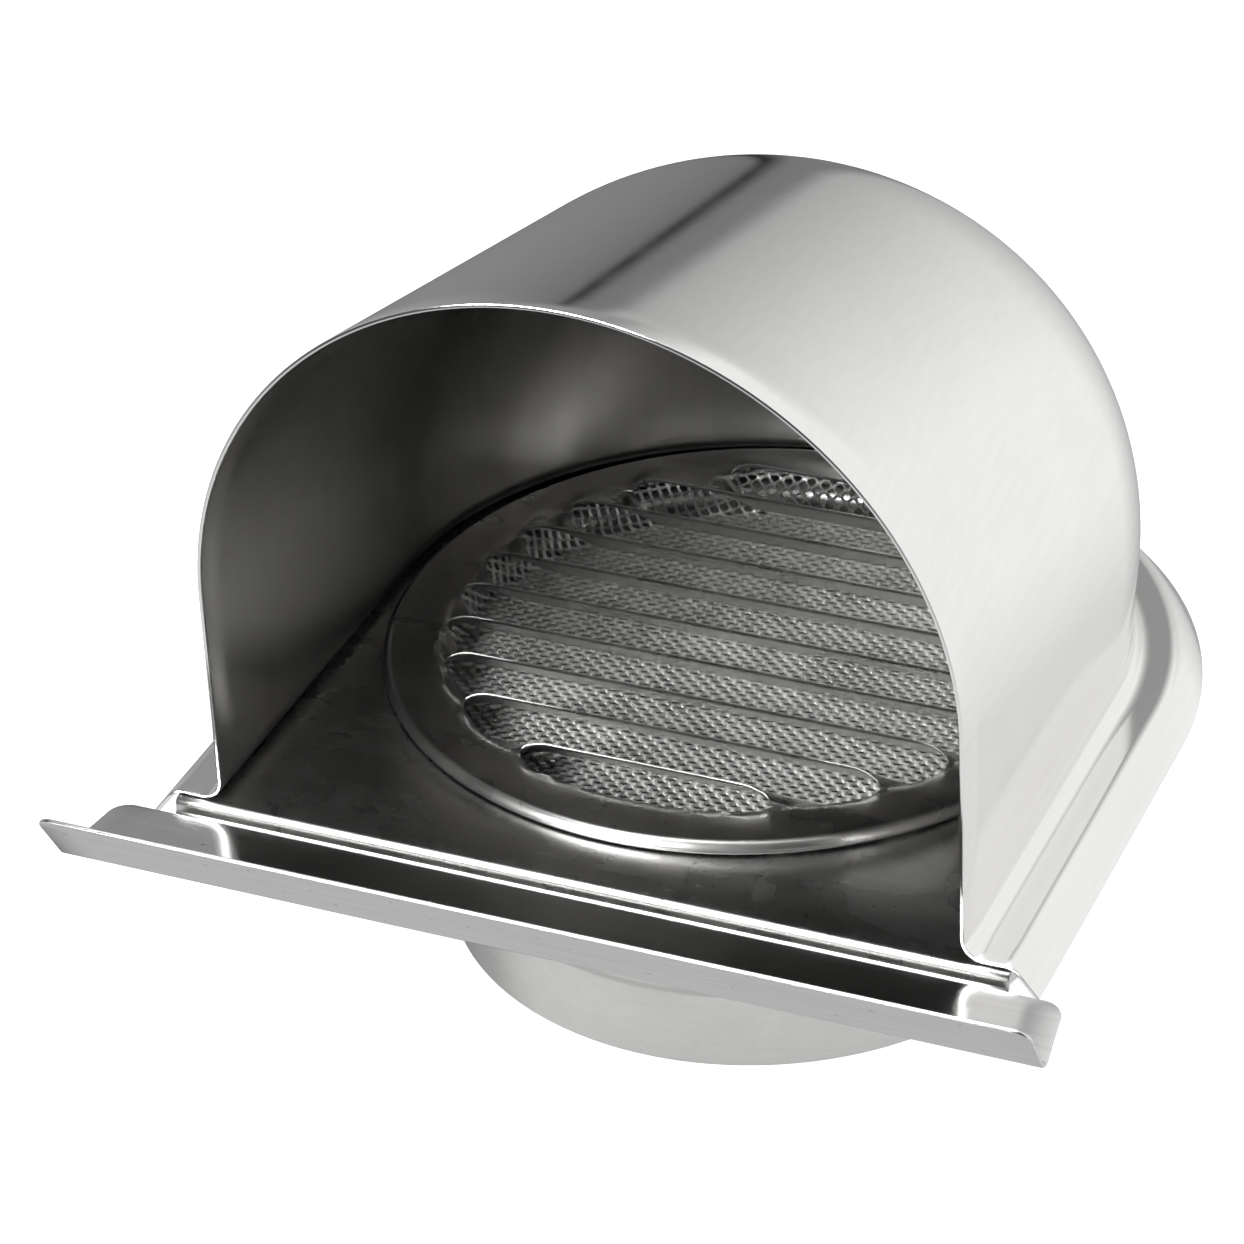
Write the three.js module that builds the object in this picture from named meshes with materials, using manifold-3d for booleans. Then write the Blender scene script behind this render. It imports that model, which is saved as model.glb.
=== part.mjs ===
// Stainless deep-hood cowl vent: a domed hood over a louvred, screened duct spigot, with a drip lip
// under its mouth. Millimetres, +Z up. While it is drawn, Z = 0 is the top face of the base plate and
// the Z axis is the duct's axis; the mouth faces -Y. The finished group is lifted so that the vent
// stands on the end of its spigot, with the origin under the middle of its bounding box.
import * as THREE from "three";
import { mergeGeometries, mergeVertices } from "three/addons/utils/BufferGeometryUtils.js";
import Module from "manifold-3d";

const wasm = await Module();
wasm.setup();

// ---- Driving dimensions ----
const SHEET = 0.7; // pressed stainless sheet
const GAP = 0.3; // clearance between neighbouring pieces

const HOOD = {
  halfWidth: 58.6, // outside of the straight side walls
  backFoot: 57.3, // where the wall would meet the flange at the very back
  rise: 56.6, // from the arch's springing line to its crown, and the dome's depth
  tilt: THREE.MathUtils.degToRad(13.4), // the hood's long axis falls towards the back by this
  domeHeight: 19.5, // from the plate to the dome's centre, along the tilted wall
  mouthY: -66.7,
  fillet: 3.2,
};
const FLANGE = { edge: 66, skirtEdge: 69.8, bend: 1.6 };
const WALL_PLANE = -3.3; // the mounting face, below the plate's top face

const PLATE = { edge: 65.3, opening: 52, bend: 1.2, noseDepth: 2.6, toeY: -76 };
const COVER = { top: 2, edge: 55.6, rim: 57, sheet: 0.6 };
const LOUVRE = {
  count: 10,
  pitch: 9.54,
  radius: 47.5, // the circle that the cuts' ends lie on
  up: 2.9, // height of a raised front edge over the cover's top
  down: 4.9, // depth of a depressed rear edge under it
  outerDraw: 1.8, // how sharply the first and last strips bend; the ones between are straight
  endRadius: 5,
  pocketEdge: 48.6, // the radius where a strip's pocket runs out
  pocketFade: 2.5,
  kerf: 0.4,
};
const SPIGOT = {
  outer: 49,
  length: 44.8,
  flange: 56,
  throat: 2,
  beadZ: -30,
  beadHeight: 0.6,
  beadHalf: 1.5,
};
const SCREEN = {
  z: -5.2, // underside of the dish's flat bottom
  thickness: 0.9,
  bottom: 47.2, // radius of the flat bottom
  border: 2.6, // width of the solid band round the bottom
  brim: 49.7, // radius where the dish's wall meets its brim
  edge: 54, // the brim's edge, between the louvre disc and the plate
  sheet: 0.4,
  wire: 0.6,
  cell: 12,
};
const SCREEN_RING = { radius: 47.9, height: 1.4, width: 2.2 };
const GASKET = { edge: 64.5, hole: 57, frontY: -61.5, backZ: -3.6 };
const LIP = {
  backY: -69.7,
  bendY: -83.6,
  crease: 1.2,
  frontRise: 10.2,
  lean: 6.3,
  halfLength: 76,
  taper: 1.4, // the back leg's ends are this much shorter
  backCorner: 3.2,
  frontCorner: 2.3,
};
const CLIP = {
  count: 4,
  width: 12,
  sheet: 0.5,
  rivetZ: -23,
  standOff: 0.45,
  foot: 3,
  bendAbove: 2,
  leafHeight: 17,
  leafRise: 3.6,
  rivetSpacing: 6.8,
  hole: 1.5,
};
const RIVET = { shank: 1.2, head: 2, headHeight: 1, headGap: 0.4, tailLength: 1.1 };

const ROUND_STEPS = 48;
const DOME_STEPS = 24;

// ---- Materials ----
function steel(color, roughness) {
  return new THREE.MeshStandardMaterial({ color, roughness, metalness: 1 });
}
const polishedSteel = steel(0xd9d8d6, 0.22);
const satinSteel = steel(0xbdbcba, 0.38);
const wireSteel = steel(0x9b9a98, 0.45);
const springSteel = steel(0xa9a8a4, 0.32);
const foam = new THREE.MeshStandardMaterial({ color: 0x2a2b2d, roughness: 0.95, metalness: 0 });

// ---- Helpers: closed geometries ----
function welded(geometry) {
  geometry.deleteAttribute("normal");
  geometry.deleteAttribute("uv");
  return mergeVertices(geometry, 1e-3);
}

function solidOf(geometry) {
  const merged = welded(geometry);
  return new wasm.Manifold(
    new wasm.Mesh({
      numProp: 3,
      vertProperties: merged.attributes.position.array,
      triVerts: new Uint32Array(merged.index.array),
    }),
  );
}

function geometryOf(solid) {
  const mesh = solid.getMesh();
  const geometry = new THREE.BufferGeometry();
  geometry.setAttribute("position", new THREE.BufferAttribute(mesh.vertProperties, 3));
  geometry.setIndex(new THREE.BufferAttribute(mesh.triVerts, 1));
  return geometry;
}

// A surface of triangles through rows of points, each row holding the same number of points.
function gridSurface(rows) {
  const corners = [];
  for (let i = 0; i + 1 < rows.length; i++) {
    for (let j = 0; j + 1 < rows[i].length; j++) {
      const [a, b, c, d] = [rows[i][j], rows[i][j + 1], rows[i + 1][j + 1], rows[i + 1][j]];
      corners.push(a, b, c, a, c, d);
    }
  }
  return new THREE.BufferGeometry().setFromPoints(corners);
}

// Joins surfaces that share edges and gives them a thickness, below the surface. The sheet is measured
// square to the surface, or straight down where straightDown is true.
function closedSheet(surfaces, thickness, straightDown = false) {
  const merged = mergeVertices(mergeGeometries(surfaces), 1e-3);
  const index = [];
  for (let i = 0; i < merged.index.count; i += 3) {
    const triangle = Array.from(merged.index.array.slice(i, i + 3));
    if (new Set(triangle).size === 3) index.push(triangle);
  }
  merged.setIndex(index.flat());
  merged.computeVertexNormals();
  const { position, normal } = merged.attributes;
  const count = position.count;
  const upper = [];
  const lower = [];
  for (let i = 0; i < count; i++) {
    const point = new THREE.Vector3().fromBufferAttribute(position, i);
    const outward = new THREE.Vector3().fromBufferAttribute(normal, i);
    if (straightDown) outward.set(0, 0, 1);
    upper.push(point);
    lower.push(point.clone().addScaledVector(outward, -thickness));
  }
  const sidesOf = ([a, b, c]) => [
    [a, b],
    [b, c],
    [c, a],
  ];
  const edges = new Set(index.flatMap(sidesOf).map(String));
  const faces = [];
  for (const triangle of index) {
    const [a, b, c] = triangle;
    faces.push(a, b, c, a + count, c + count, b + count);
    for (const [p, q] of sidesOf(triangle)) {
      const open = !edges.has(String([q, p]));
      if (open) faces.push(q, p, p + count, q, p + count, q + count);
    }
  }
  const geometry = new THREE.BufferGeometry().setFromPoints([...upper, ...lower]);
  geometry.setIndex(faces);
  return geometry;
}

// A flat outline in XY, with round holes if any, from z low to z high.
function slab(shape, low, high) {
  const geometry = new THREE.ExtrudeGeometry(shape, {
    depth: high - low,
    bevelEnabled: false,
    curveSegments: ROUND_STEPS / 2,
  });
  return geometry.translate(0, 0, low);
}

// A profile in (Y, Z), extruded along X and centred on X = 0.
function bar(profile, length) {
  const geometry = new THREE.ExtrudeGeometry(profile, {
    depth: length,
    bevelEnabled: false,
    curveSegments: 6,
  });
  geometry.translate(0, 0, -length / 2);
  return geometry.applyMatrix4(
    new THREE.Matrix4().makeBasis(
      new THREE.Vector3(0, 1, 0),
      new THREE.Vector3(0, 0, 1),
      new THREE.Vector3(1, 0, 0),
    ),
  );
}

// A closed (radius, z) profile turned round the Z axis.
function turned(profile, steps = ROUND_STEPS) {
  const points = profile.map(([r, z]) => new THREE.Vector2(r, z));
  const geometry = new THREE.LatheGeometry(points, steps);
  return geometry.rotateX(Math.PI / 2);
}

function diskShape(radius, holeRadius = 0) {
  const shape = new THREE.Shape();
  shape.absarc(0, 0, radius, 0, 2 * Math.PI);
  if (holeRadius > 0) {
    const hole = new THREE.Path();
    hole.absarc(0, 0, holeRadius, 0, 2 * Math.PI, true);
    shape.holes.push(hole);
  }
  return shape;
}

// The U outline shared by the plate and the gasket: straight sides, a half round at the back.
function uShape(edge, frontY, holeRadius) {
  const shape = new THREE.Shape();
  shape.moveTo(-edge, frontY);
  shape.lineTo(edge, frontY);
  shape.lineTo(edge, 0);
  shape.absarc(0, 0, edge, 0, Math.PI);
  shape.closePath();
  const hole = new THREE.Path();
  hole.absarc(0, 0, holeRadius, 0, 2 * Math.PI, true);
  shape.holes.push(hole);
  return shape;
}

// Points of a smooth bend from a to b whose tangents meet at corner.
function bendPoints(a, corner, b, steps) {
  return new THREE.QuadraticBezierCurve3(a, corner, b).getPoints(steps);
}

// ---- Hood ----
// The hood's long axis rises towards the mouth. "up" is square to it, "back" runs along it.
const hoodUp = new THREE.Vector3(0, Math.sin(HOOD.tilt), Math.cos(HOOD.tilt));
const hoodBack = new THREE.Vector3(0, Math.cos(HOOD.tilt), -Math.sin(HOOD.tilt));
const domeCentre = hoodUp.clone().multiplyScalar(HOOD.domeHeight);

// A point of the dome: angle phi runs round the arch from +X to -X, psi tips it over to the back.
function domePoint(phi, psi) {
  const point = domeCentre.clone();
  point.x += HOOD.halfWidth * Math.cos(phi);
  point.addScaledVector(hoodUp, HOOD.rise * Math.sin(phi) * Math.cos(psi));
  return point.addScaledVector(hoodBack, HOOD.rise * Math.sin(phi) * Math.sin(psi));
}

// The same point of the arch, carried forward along the hood's axis to the mouth's plane.
function mouthPoint(phi) {
  const point = domePoint(phi, 0);
  return point.addScaledVector(hoodBack, (HOOD.mouthY - point.y) / hoodBack.y);
}

function hoodTop(straightSteps, domeSteps, roundSteps) {
  const rows = [];
  for (let i = 0; i < straightSteps; i++) {
    const row = [];
    for (let j = 0; j <= roundSteps; j++) {
      const phi = (Math.PI * j) / roundSteps;
      row.push(mouthPoint(phi).lerp(domePoint(phi, 0), i / straightSteps));
    }
    rows.push(row);
  }
  for (let i = 0; i <= domeSteps; i++) {
    const row = [];
    for (let j = 0; j <= roundSteps; j++) {
      row.push(domePoint((Math.PI * j) / roundSteps, ((Math.PI / 2) * i) / domeSteps));
    }
    rows.push(row);
  }
  return rows;
}

// One profile from the springing line down the wall, round the fillet, across the flange and down the
// skirt. "spring" is its top point, "foot" where the wall would meet the flange, "out" points outwards,
// and the flange's edges are measured from "middle", a point of the hood's middle line.
function wallProfile(spring, foot, middle, out) {
  const wall = spring.clone().sub(foot).normalize();
  const edge = middle.clone().addScaledVector(out, FLANGE.edge);
  const skirt = middle.clone().addScaledVector(out, FLANGE.skirtEdge);
  skirt.z = WALL_PLANE;
  const beforeBend = edge.clone().addScaledVector(out, -FLANGE.bend);
  const afterBend = edge.clone().addScaledVector(skirt.clone().sub(edge).normalize(), FLANGE.bend);
  const topOfFillet = foot.clone().addScaledVector(wall, HOOD.fillet);
  const endOfFillet = foot.clone().addScaledVector(out, HOOD.fillet);
  return [
    spring,
    ...bendPoints(topOfFillet, foot, endOfFillet, 4),
    ...bendPoints(beforeBend, edge, afterBend, 3),
    skirt,
  ];
}

function hoodSkirt(straightSteps, roundSteps) {
  const flangeZ = GAP + SHEET;
  const profiles = [];
  const side = (sign, i) => {
    const spring = mouthPoint(0).lerp(domePoint(0, 0), i / straightSteps);
    const footY = HOOD.mouthY * (1 - i / straightSteps);
    const foot = new THREE.Vector3(HOOD.halfWidth, footY, flangeZ);
    spring.x *= sign;
    foot.x *= sign;
    const middle = new THREE.Vector3(0, footY, flangeZ);
    return wallProfile(spring, foot, middle, new THREE.Vector3(sign, 0, 0));
  };
  for (let i = 0; i < straightSteps; i++) profiles.push(side(1, i));
  for (let j = 0; j <= roundSteps; j++) {
    const phi = (Math.PI * j) / roundSteps;
    const spring = domePoint(phi, Math.PI / 2);
    const out = new THREE.Vector3(Math.cos(phi), Math.sin(phi), 0);
    const foot = spring.clone().addScaledVector(hoodUp, (flangeZ - spring.z) / hoodUp.z);
    foot.y = HOOD.backFoot * Math.sin(phi);
    profiles.push(wallProfile(spring, foot, new THREE.Vector3(0, 0, flangeZ), out));
  }
  for (let i = straightSteps - 1; i >= 0; i--) profiles.push(side(-1, i));
  return profiles;
}

function hoodGeometry() {
  const straightSteps = 3;
  const top = hoodTop(straightSteps, DOME_STEPS / 3, DOME_STEPS).reverse();
  const skirt = hoodSkirt(straightSteps, DOME_STEPS);
  return closedSheet([gridSurface(top), gridSurface(skirt)], SHEET);
}

// ---- Base plate: a flat plate whose front edge steps down and runs out under the drip lip ----
function basePlateGeometry() {
  const overlap = 4;
  const flat = slab(uShape(PLATE.edge, HOOD.mouthY, PLATE.opening), -SHEET, 0);
  const r = PLATE.bend;
  const noseY = HOOD.mouthY - r;
  const toeTop = -PLATE.noseDepth;
  const profile = new THREE.Shape();
  profile.moveTo(HOOD.mouthY + overlap, 0);
  profile.lineTo(HOOD.mouthY, 0);
  profile.absarc(HOOD.mouthY, -r, r, Math.PI / 2, Math.PI);
  profile.lineTo(noseY, toeTop);
  profile.lineTo(PLATE.toeY, toeTop);
  profile.lineTo(PLATE.toeY, toeTop - SHEET);
  profile.lineTo(noseY + SHEET, toeTop - SHEET);
  profile.lineTo(noseY + SHEET, -r);
  profile.absarc(HOOD.mouthY, -r, r - SHEET, Math.PI, Math.PI / 2, true);
  profile.lineTo(HOOD.mouthY + overlap, -SHEET);
  profile.closePath();
  return geometryOf(solidOf(flat).add(solidOf(bar(profile, 2 * PLATE.edge))));
}

// ---- Louvre disc: a shallow round cover, lanced and pressed into rows of louvres ----
function cutY(k) {
  return (k - (LOUVRE.count - 1) / 2) * LOUVRE.pitch;
}

function cutHalfLength(k) {
  return Math.sqrt(LOUVRE.radius ** 2 - cutY(k) ** 2);
}

// 0 beyond the ends of cut k, rising in a quarter round to 1 along its middle.
function cutOpening(k, x) {
  if (k < 0 || k >= LOUVRE.count) return 0;
  const inside = Math.min(1, Math.max(0, (cutHalfLength(k) - Math.abs(x)) / LOUVRE.endRadius));
  return Math.sqrt(1 - (1 - inside) ** 2);
}

// How far a row of points at y reaches inside a circle, but never less than 0.3 of its radius.
function bandHalf(radius, y) {
  return Math.sqrt(Math.max(radius ** 2 - y ** 2, (0.3 * radius) ** 2));
}

// A row of points across the cover at y. Strip k lies between cut k - 1 and cut k, and v runs across it.
function coverRow(y, k, v, columns) {
  const reach = Math.sqrt(Math.max(COVER.edge ** 2 - y ** 2, 0));
  const band = Math.min(bandHalf(LOUVRE.radius, y), reach);
  const margin = Math.min(bandHalf((LOUVRE.radius + LOUVRE.pocketEdge) / 2, y), reach);
  const xs = [-reach, -margin];
  for (let j = 0; j <= columns; j++) xs.push(-band * Math.cos((Math.PI * j) / columns));
  xs.push(margin, reach);
  const draw = k % LOUVRE.count === 0 ? LOUVRE.outerDraw : 1;
  return xs.map((x) => {
    const inPocket = (LOUVRE.pocketEdge - Math.hypot(x, y)) / LOUVRE.pocketFade;
    const up = LOUVRE.up * cutOpening(k - 1, x) * (1 - v) ** draw;
    const pressed = cutOpening(k, x) * Math.min(1, Math.max(0, inPocket));
    const down = LOUVRE.down * pressed * v ** draw;
    const shift = cutOpening(k - 1, x) * (1 - v) ** 4 - cutOpening(k, x) * v ** 4;
    return new THREE.Vector3(x, y + (LOUVRE.kerf / 2) * shift, COVER.top + up - down);
  });
}

function louvreDiscGeometry() {
  const columns = 14;
  const rowsPerStrip = 4;
  const capSteps = 4;
  const surfaces = [];
  const outline = [];
  const firstY = cutY(-1);
  const capAngle = Math.acos(-firstY / COVER.edge);
  const cap = (side) => {
    const rows = [];
    for (let i = 0; i <= capSteps; i++) {
      const y = side * COVER.edge * Math.cos((capAngle * i) / capSteps);
      rows.push(coverRow(y, -1, 0, columns));
    }
    return side < 0 ? rows : rows.reverse();
  };
  const addRows = (rows) => {
    surfaces.push(gridSurface(rows));
    outline.push(...rows);
  };
  addRows(cap(-1));
  for (let k = 0; k <= LOUVRE.count; k++) {
    const rows = [];
    for (let i = 0; i <= rowsPerStrip; i++) {
      const v = i / rowsPerStrip;
      rows.push(coverRow(cutY(k - 1) + v * LOUVRE.pitch, k, v, columns));
    }
    addRows(rows);
  }
  addRows(cap(1));
  // The bevelled rim, from the flat's edge out and down to the plate.
  const rimZ = GAP + COVER.sheet;
  const rim = (edgePoints) =>
    edgePoints.map((point) => {
      const outer = point.clone().multiplyScalar(COVER.rim / COVER.edge);
      outer.z = rimZ;
      return outer;
    });
  const right = outline.map((row) => row[row.length - 1]);
  const left = outline.map((row) => row[0]);
  surfaces.push(gridSurface([rim(right), right]));
  surfaces.push(gridSurface([left, rim(left)]));
  return closedSheet(surfaces, COVER.sheet, true);
}

// ---- Duct spigot: a flanged tube with a rolled bead and the holes of its spring clips ----
function spigotGeometry() {
  const { outer, length, flange, throat, beadZ, beadHeight, beadHalf } = SPIGOT;
  const flangeTop = -SHEET - GAP;
  // One face of the wall, from the flange's edge, round the throat's bend and over the bead to the end.
  const wallFace = (r, faceTop, bend) => {
    const points = [[flange, faceTop]];
    for (let i = 0; i <= 3; i++) {
      const angle = (Math.PI / 6) * i;
      points.push([r + bend * (1 - Math.sin(angle)), faceTop - bend * (1 - Math.cos(angle))]);
    }
    points.push([r, beadZ + beadHalf], [r + beadHeight, beadZ + beadHalf / 3]);
    points.push([r + beadHeight, beadZ - beadHalf / 3], [r, beadZ - beadHalf], [r, -length]);
    return points;
  };
  const inside = wallFace(outer - SHEET, flangeTop, throat + SHEET);
  const outside = wallFace(outer, flangeTop - SHEET, throat).reverse();
  const profile = [...inside, ...outside, inside[0]];
  let solid = solidOf(turned(profile));
  for (let k = 0; k < CLIP.count; k++) {
    for (const side of [-1, 1]) {
      solid = solid.subtract(solidOf(clipPlaced(rivetHole(side), k)));
    }
  }
  return geometryOf(solid);
}

// ---- Insect screen: a shallow dish under the louvres, its brim held between louvre disc and plate ----
// The fine mesh is stood in for by a lattice of the same outline and thickness.
function screenGeometry() {
  const { z, thickness, bottom, border, brim, edge, sheet, wire, cell } = SCREEN;
  const top = z + thickness;
  const dish = [
    [bottom - border, z],
    [bottom, z],
    [brim, GAP],
    [edge, GAP],
    [edge, GAP + sheet],
    [brim - sheet, GAP + sheet],
    [bottom - sheet, top],
    [bottom - border, top],
    [bottom - border, z],
  ];
  let screen = solidOf(turned(dish));
  const inBorder = solidOf(slab(diskShape(bottom - border / 2), z, top));
  const reach = Math.floor(bottom / cell);
  const lift = wire / 6; // wires that cross overlap by two thirds of their thickness
  for (let i = -reach; i <= reach; i++) {
    const rod = new THREE.BoxGeometry(wire, 2 * bottom, wire);
    const across = rod.clone().translate(i * cell, 0, z + thickness / 2 + lift);
    const along = rod.rotateZ(Math.PI / 2).translate(0, i * cell, z + thickness / 2 - lift);
    screen = screen.add(solidOf(across).intersect(inBorder)).add(solidOf(along).intersect(inBorder));
  }
  return geometryOf(screen);
}

// A ring pressed into the spigot's throat, under the screen's corner.
function screenRingGeometry() {
  const { radius, height, width } = SCREEN_RING;
  const low = SCREEN.z - GAP - height;
  return slab(diskShape(radius, radius - width), low, low + height);
}

// ---- Foam gasket on the mounting face ----
function gasketGeometry() {
  return slab(uShape(GASKET.edge, GASKET.frontY, GASKET.hole), GASKET.backZ, -SHEET - GAP);
}

// ---- Drip lip: a flat back leg on the plate's toe and a front leg that leans outwards ----
function lipGeometry() {
  const backZ = -PLATE.noseDepth + GAP + SHEET;
  const bend = new THREE.Vector3(0, LIP.bendY, backZ - SHEET / 2);
  const back = new THREE.Vector3(0, LIP.backY, bend.z);
  const front = new THREE.Vector3(0, LIP.bendY - LIP.lean, bend.z + LIP.frontRise);
  const nearBack = bend.clone().lerp(back, LIP.crease / bend.distanceTo(back));
  const nearFront = bend.clone().lerp(front, LIP.crease / bend.distanceTo(front));
  const cornerSteps = 4;
  const stations = [];
  // Each station is a point of the profile and the strip's half-length there.
  for (let i = 0; i <= cornerSteps; i++) {
    const angle = ((Math.PI / 2) * i) / cornerSteps;
    const inset = LIP.backCorner * (1 - Math.sin(angle));
    const along = LIP.backCorner * (1 - Math.cos(angle));
    stations.push([
      back.clone().lerp(bend, along / back.distanceTo(bend)),
      LIP.halfLength - LIP.taper - inset,
    ]);
  }
  for (const point of bendPoints(nearBack, bend, nearFront, 3)) stations.push([point, LIP.halfLength]);
  for (let i = 0; i <= cornerSteps; i++) {
    const angle = ((Math.PI / 2) * i) / cornerSteps;
    const inset = LIP.frontCorner * (1 - Math.cos(angle));
    const along = LIP.frontCorner * (1 - Math.sin(angle));
    stations.push([front.clone().lerp(bend, along / front.distanceTo(bend)), LIP.halfLength - inset]);
  }
  const rows = stations.map(([point, half]) => [
    new THREE.Vector3(half, point.y, point.z + SHEET / 2),
    new THREE.Vector3(-half, point.y, point.z + SHEET / 2),
  ]);
  return closedSheet([gridSurface(rows)], SHEET);
}

// ---- Spring clips and their rivets, drawn at azimuth 0: radius along +X, width along Y ----
function clipPlaced(geometry, k) {
  return geometry.rotateZ(((k + 0.5) * 2 * Math.PI) / CLIP.count);
}

// A rod along the clip's radial direction, "from" and "to" being distances from the duct's axis.
function radialRod(radius, from, to, side) {
  const rod = new THREE.CylinderGeometry(radius, radius, to - from, 12);
  rod.rotateZ(Math.PI / 2);
  return rod.translate((from + to) / 2, (side * CLIP.rivetSpacing) / 2, CLIP.rivetZ);
}

function rivetHole(side) {
  const margin = 4;
  return radialRod(CLIP.hole, SPIGOT.outer - margin, SPIGOT.outer + margin, side);
}

function clipGeometry(k) {
  const inner = SPIGOT.outer + CLIP.standOff;
  const bendZ = CLIP.rivetZ + CLIP.bendAbove;
  const topZ = CLIP.rivetZ + CLIP.leafHeight;
  const profile = new THREE.Shape();
  profile.moveTo(inner, CLIP.rivetZ - CLIP.foot);
  profile.lineTo(inner + CLIP.sheet, CLIP.rivetZ - CLIP.foot);
  profile.lineTo(inner + CLIP.sheet, bendZ);
  profile.lineTo(inner + CLIP.sheet + CLIP.leafRise, topZ - CLIP.bendAbove);
  profile.lineTo(inner + CLIP.leafRise, topZ);
  profile.lineTo(inner + CLIP.leafRise - CLIP.sheet, topZ);
  profile.lineTo(inner + CLIP.leafRise, topZ - CLIP.bendAbove);
  profile.lineTo(inner, bendZ);
  profile.closePath();
  const strip = new THREE.ExtrudeGeometry(profile, { depth: CLIP.width, bevelEnabled: false });
  strip.translate(0, 0, -CLIP.width / 2);
  strip.rotateX(Math.PI / 2);
  let solid = solidOf(strip);
  for (const side of [-1, 1]) solid = solid.subtract(solidOf(rivetHole(side)));
  return clipPlaced(geometryOf(solid), k);
}

// A blind rivet: domed head outside the clip, shank through clip and wall, set tail inside the bore.
function rivetGeometry(k, side) {
  const boreWall = Math.hypot(SPIGOT.outer - SHEET, CLIP.rivetSpacing / 2);
  const wallInside = 2 * (SPIGOT.outer - SHEET) - boreWall;
  const tailEnd = wallInside - GAP;
  const headFoot = SPIGOT.outer + CLIP.standOff + CLIP.sheet + RIVET.headGap;
  const profile = [[0, tailEnd - RIVET.tailLength]];
  profile.push([RIVET.head, tailEnd - RIVET.tailLength], [RIVET.head, tailEnd], [RIVET.shank, tailEnd]);
  profile.push([RIVET.shank, headFoot]);
  for (let i = 0; i <= 3; i++) {
    const angle = (Math.PI / 6) * i;
    profile.push([RIVET.head * Math.cos(angle), headFoot + RIVET.headHeight * Math.sin(angle)]);
  }
  profile[profile.length - 1][0] = 0;
  const rivet = turned(profile, 12);
  rivet.rotateY(Math.PI / 2);
  rivet.translate(0, (side * CLIP.rivetSpacing) / 2, CLIP.rivetZ);
  return clipPlaced(rivet, k);
}

// ---- Assembly ----
const vent = new THREE.Group();

function add(name, geometry, material) {
  const mesh = new THREE.Mesh(geometry, material);
  mesh.name = name;
  vent.add(mesh);
}

add("hood_shell", hoodGeometry(), polishedSteel);
add("base_plate", basePlateGeometry(), satinSteel);
add("louvre_disc", louvreDiscGeometry(), satinSteel);
add("insect_screen", screenGeometry(), wireSteel);
add("screen_ring", screenRingGeometry(), wireSteel);
add("duct_spigot", spigotGeometry(), satinSteel);
add("wall_gasket", gasketGeometry(), foam);
add("drip_lip", lipGeometry(), polishedSteel);
for (let k = 0; k < CLIP.count; k++) {
  add(`spring_clip_${k + 1}`, clipGeometry(k), springSteel);
  add(`clip_rivet_${k + 1}a`, rivetGeometry(k, -1), springSteel);
  add(`clip_rivet_${k + 1}b`, rivetGeometry(k, 1), springSteel);
}

// The group stands on the spigot's end, with the origin under the middle of its bounding box.
const box = new THREE.Box3().setFromObject(vent, true);
vent.position.set(0, -(box.min.y + box.max.y) / 2, -box.min.z);

export default vent;
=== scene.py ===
"""Stainless deep-hood cowl vent: the looks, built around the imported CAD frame.

Every sheet-metal piece is made again as a fine surface from the same driving dimensions as the CAD
part. Shapes are drawn in millimetres round the duct's axis, with Z = 0 on the plate's top face, and
piece_object() moves them into the frame, in metres.
"""
import math

import bmesh
import bpy
from mathutils import Matrix, Vector


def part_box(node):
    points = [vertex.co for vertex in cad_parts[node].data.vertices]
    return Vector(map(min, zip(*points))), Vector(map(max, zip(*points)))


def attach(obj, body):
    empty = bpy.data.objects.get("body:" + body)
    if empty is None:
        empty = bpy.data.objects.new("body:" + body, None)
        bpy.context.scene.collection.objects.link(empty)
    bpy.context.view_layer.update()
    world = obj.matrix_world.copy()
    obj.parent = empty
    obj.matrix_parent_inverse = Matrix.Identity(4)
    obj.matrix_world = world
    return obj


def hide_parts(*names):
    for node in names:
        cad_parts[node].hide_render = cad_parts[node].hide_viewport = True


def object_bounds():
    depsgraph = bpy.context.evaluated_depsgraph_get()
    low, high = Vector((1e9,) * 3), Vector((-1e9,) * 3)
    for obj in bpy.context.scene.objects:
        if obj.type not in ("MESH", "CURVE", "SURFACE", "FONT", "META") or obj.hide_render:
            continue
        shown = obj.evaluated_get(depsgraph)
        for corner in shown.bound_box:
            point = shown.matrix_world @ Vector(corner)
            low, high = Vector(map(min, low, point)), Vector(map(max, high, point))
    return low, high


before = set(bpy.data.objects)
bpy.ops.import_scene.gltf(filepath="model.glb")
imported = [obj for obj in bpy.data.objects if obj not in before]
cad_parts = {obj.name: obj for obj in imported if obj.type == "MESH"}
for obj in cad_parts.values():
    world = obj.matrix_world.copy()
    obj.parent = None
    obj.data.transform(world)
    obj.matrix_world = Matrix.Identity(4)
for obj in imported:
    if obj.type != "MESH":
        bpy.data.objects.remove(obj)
cad_low, cad_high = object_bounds()

# ---- The frame's own places ----
MM = 0.001
spigot_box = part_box("duct_spigot")
plate_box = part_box("base_plate")
ORIGIN = Vector((0, (spigot_box[0].y + spigot_box[1].y) / 2, plate_box[1].z))


def drawn_box(node):
    """The lowest and highest corners of a CAD node, in the drawing's millimetres."""
    low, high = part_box(node)
    return (low - ORIGIN) / MM, (high - ORIGIN) / MM


hood_low, hood_high = drawn_box("hood_shell")
plate_low, plate_high = drawn_box("base_plate")
cover_high = drawn_box("louvre_disc")[1]
screen_low, screen_high = drawn_box("insect_screen")
ring_low, ring_high = drawn_box("screen_ring")
spigot_low, spigot_high = drawn_box("duct_spigot")
gasket_low, gasket_high = drawn_box("wall_gasket")
lip_high = drawn_box("drip_lip")[1]

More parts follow.
